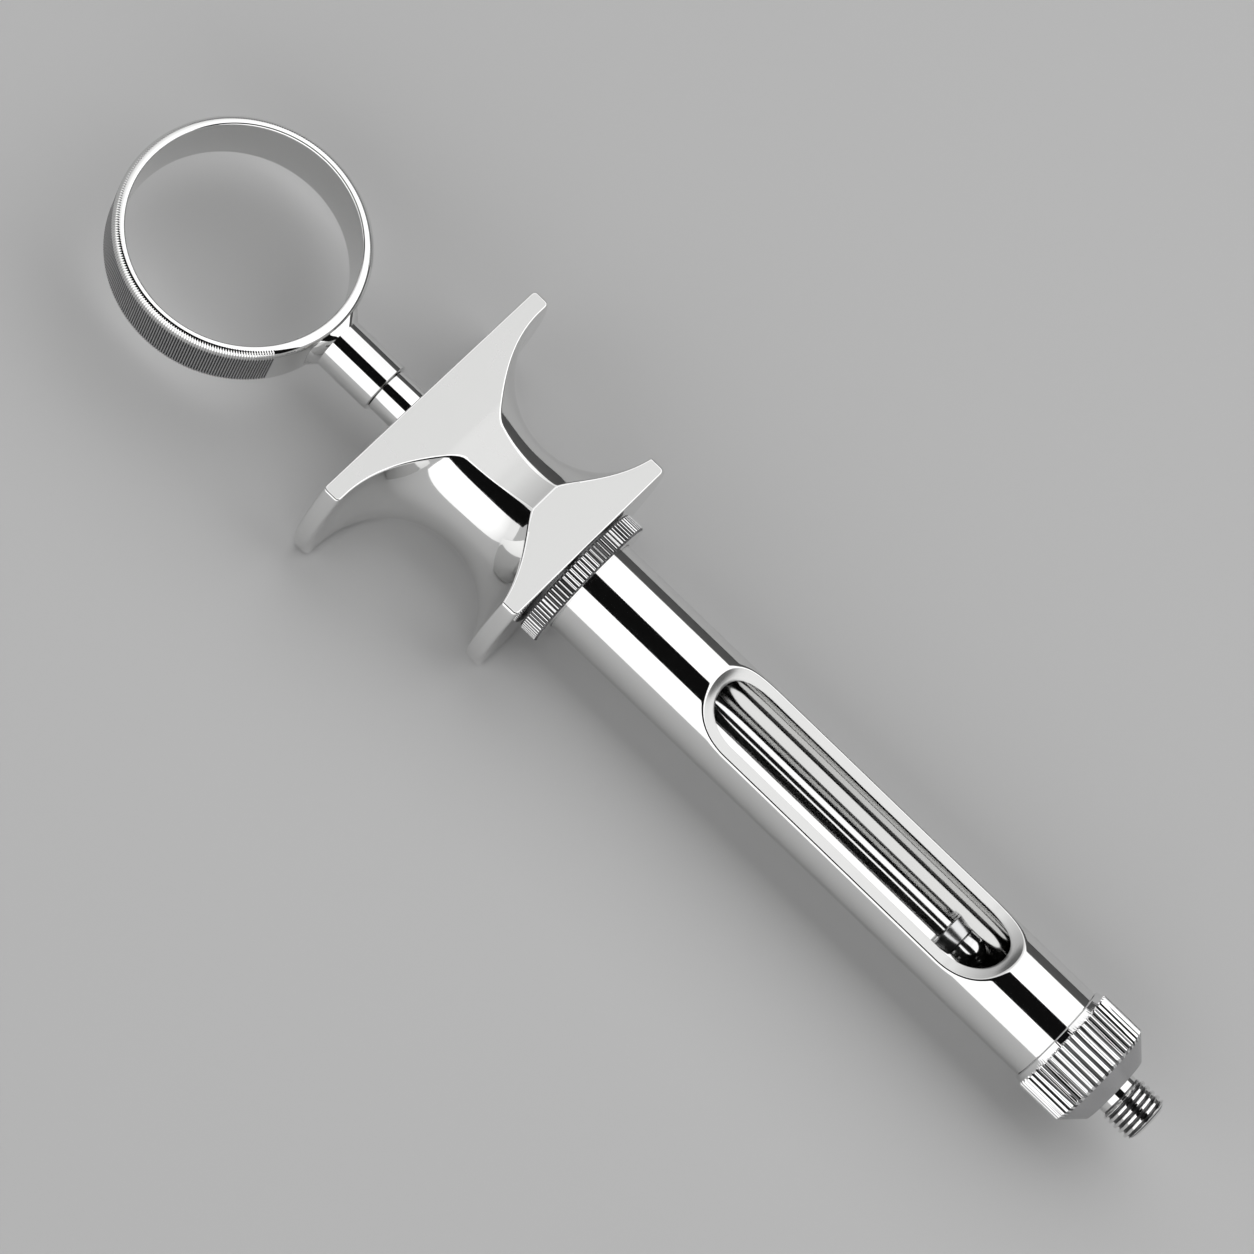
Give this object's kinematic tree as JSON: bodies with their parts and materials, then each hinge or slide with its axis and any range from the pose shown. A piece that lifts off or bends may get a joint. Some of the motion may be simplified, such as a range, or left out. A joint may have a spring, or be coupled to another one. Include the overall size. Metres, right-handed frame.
{
  "type": "dental aspirating syringe",
  "caption": "Dental aspirating syringe: thumb ring and plunger, spool-shaped finger grip, windowed cartridge barrel and a knurled hub with a threaded needle tip.",
  "frame": {"origin": "on the syringe's axis, at the middle of the needle thread", "axes": "+X along the axis towards the needle end, +Z square to the finger flats, the window and the thumb ring, +Y across the finger grip"},
  "size_m": [0.1379, 0.0346, 0.0154],
  "materials": {
    "polished_steel": "mirror polished",
    "knurled_steel": "knurled and polished",
    "satin_steel": "turned",
    "spring_steel": "drawn wire",
    "bearing_brass": "turned",
    "packing_plastic": "matt",
    "gasket_rubber": "matt"
  },
  "bodies": {
    "grip": {"finger_grip": "polished_steel", "guide_bush": "bearing_brass", "rod_packing": "packing_plastic", "packing_nut": "bearing_brass", "follower_spring": "spring_steel", "retaining_ring": "spring_steel"},
    "plunger": {"plunger_rod": "polished_steel", "stop_sleeve": "polished_steel", "piston_disc": "polished_steel", "harpoon": "polished_steel"},
    "thumb_loop": {"thumb_ring": "polished_steel"},
    "follower": {"cartridge_follower": "satin_steel"},
    "cartridge_barrel": {"barrel": "polished_steel", "collar_washer": "satin_steel"},
    "collar": {"collar_nut": "knurled_steel"},
    "adaptor": {"needle_adaptor": "polished_steel", "hub_gasket": "gasket_rubber"},
    "hub": {"hub_nut": "knurled_steel"}
  },
  "joints": [
    {"name": "plunger_slide", "type": "slide", "parent": "grip", "child": "plunger", "axis": [-1, 0, 0], "range_m": [0, 0.052]},
    {"name": "thumb_ring_turn", "type": "hinge", "parent": "plunger", "child": "thumb_loop", "pos_m": [-0.104, 0, 0], "axis": [1, 0, 0], "continuous": true},
    {"name": "follower_slide", "type": "slide", "parent": "grip", "child": "follower", "axis": [-1, 0, 0], "range_m": [0, 0.002], "stiffness_N_per_m": 300, "springref_m": -0.004, "deforming": ["follower_spring"]},
    {"name": "barrel_draw", "type": "slide", "parent": "grip", "child": "cartridge_barrel", "axis": [1, 0, 0], "range_m": [0, 0.003]},
    {"name": "collar_turn", "type": "hinge", "parent": "cartridge_barrel", "child": "collar", "pos_m": [-0.075, 0, 0], "axis": [1, 0, 0], "range_deg": [0, 1440]},
    {"name": "adaptor_draw", "type": "slide", "parent": "cartridge_barrel", "child": "adaptor", "axis": [1, 0, 0], "range_m": [0, 0.00375]},
    {"name": "hub_nut_turn", "type": "hinge", "parent": "adaptor", "child": "hub", "pos_m": [-0.006, 0, 0], "axis": [1, 0, 0], "range_deg": [0, 1800]}
  ],
  "couplings": [
    {"joint": "collar_turn", "follows": "barrel_draw", "rad_per_m": 8377.6},
    {"joint": "hub_nut_turn", "follows": "adaptor_draw", "rad_per_m": 8377.6}
  ]
}
